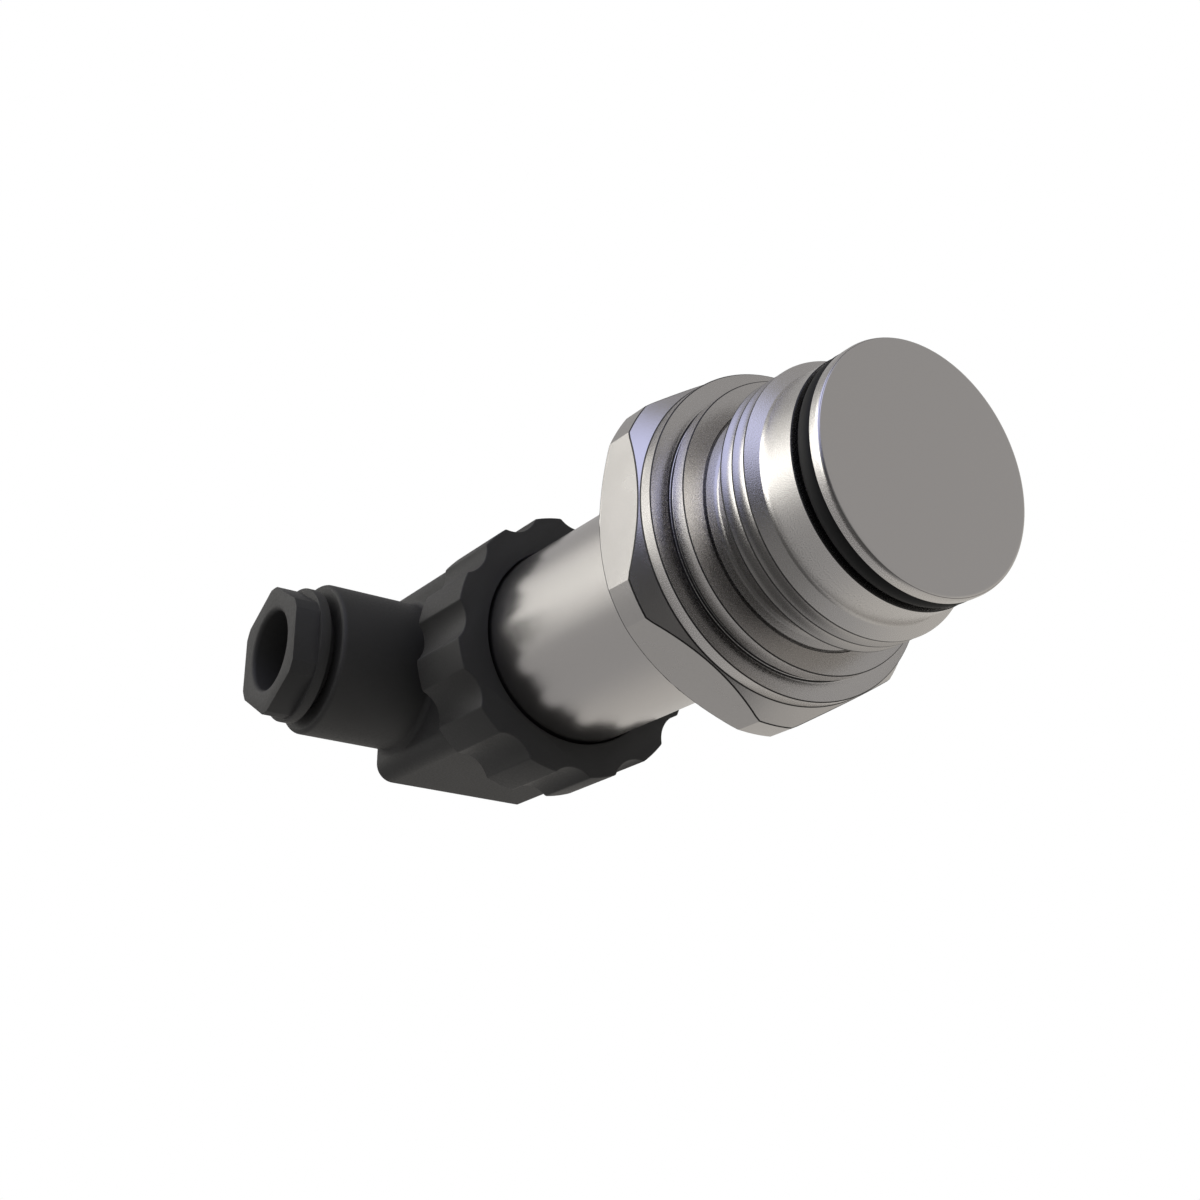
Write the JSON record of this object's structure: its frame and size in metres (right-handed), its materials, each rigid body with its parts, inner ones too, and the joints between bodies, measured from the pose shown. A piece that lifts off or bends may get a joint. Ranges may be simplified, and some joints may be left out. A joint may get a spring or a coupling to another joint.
{
  "type": "pressure sensor",
  "caption": "Upright flush-face pressure transmitter: turned steel nose with thread and spanner hexagon, round case tube, scalloped coupling ring and angular plug with a side cable gland.",
  "frame": {"origin": "centre of the flat sensing face at the front of the nose", "axes": "+Z along the body from the sensing face to the plug, +X the way the cable gland points"},
  "size_m": [0.0543, 0.0448, 0.1053],
  "materials": {
    "stainless": "fine satin turned stainless steel",
    "black_moulding": "matt black glass-filled polyamide",
    "seal_rubber": "black rubber",
    "seal_glass": "sealing glass",
    "gold_pin": "gold-plated pin",
    "silicon": "polished silicon",
    "board_green": "green solder mask",
    "component_black": "moulded chip cases",
    "cable_amber": "amber polyimide flat cable",
    "brass": "turned brass",
    "tinned_brass": "tin-plated brass",
    "plated_screw": "zinc-plated steel",
    "wire_cover": "wire insulation"
  },
  "bodies": {
    "case": {"process_body": "stainless", "membrane": "stainless", "nose_o_ring": "seal_rubber", "cell_header": "stainless", "cell_glass": "seal_glass", "cell_pins": "gold_pin", "sensor_die": "silicon", "fill_ball": "stainless", "adapter_board": "board_green", "case_tube": "stainless", "board_carrier": "black_moulding", "main_board": "board_green", "board_components": "component_black", "flat_cable": "cable_amber", "contact_base": "black_moulding", "base_o_ring": "seal_rubber", "screw_insert": "brass", "contact_blades": "tinned_brass", "earth_blade": "tinned_brass", "lead_wires": "wire_cover", "plug_gasket": "seal_rubber"},
    "ring": {"coupling_ring": "black_moulding"},
    "plug": {"plug_housing": "black_moulding", "contact_carrier": "black_moulding", "contact_sockets": "tinned_brass", "terminal_screws": "plated_screw", "screw_washer": "seal_rubber", "gland_seal": "seal_rubber"},
    "screw": {"plug_screw": "plated_screw"},
    "gland_slider": {"gland_thrust_ring": "black_moulding"},
    "gland_screw": {"gland_nut": "black_moulding"}
  },
  "joints": [
    {"name": "coupling_ring_turn", "type": "hinge", "parent": "case", "child": "ring", "pos_m": [0, 0, 0.0745], "axis": [0, 0, 1], "range_deg": [0, 120]},
    {"name": "plug_pull", "type": "slide", "parent": "case", "child": "plug", "axis": [0, 0, 1], "range_m": [0, 0.014]},
    {"name": "plug_screw_turn", "type": "hinge", "parent": "plug", "child": "screw", "pos_m": [0, 0, 0.1], "axis": [0, 0, 1], "continuous": true},
    {"name": "gland_slide", "type": "slide", "parent": "plug", "child": "gland_slider", "axis": [1, 0, 0], "range_m": [0, 0.0045]},
    {"name": "gland_nut_turn", "type": "hinge", "parent": "gland_slider", "child": "gland_screw", "pos_m": [0.0275, 0, 0.09458], "axis": [1, 0, 0], "range_deg": [0, 1080]}
  ],
  "couplings": [
    {"joint": "gland_nut_turn", "follows": "gland_slide", "rad_per_m": 4188.8}
  ]
}
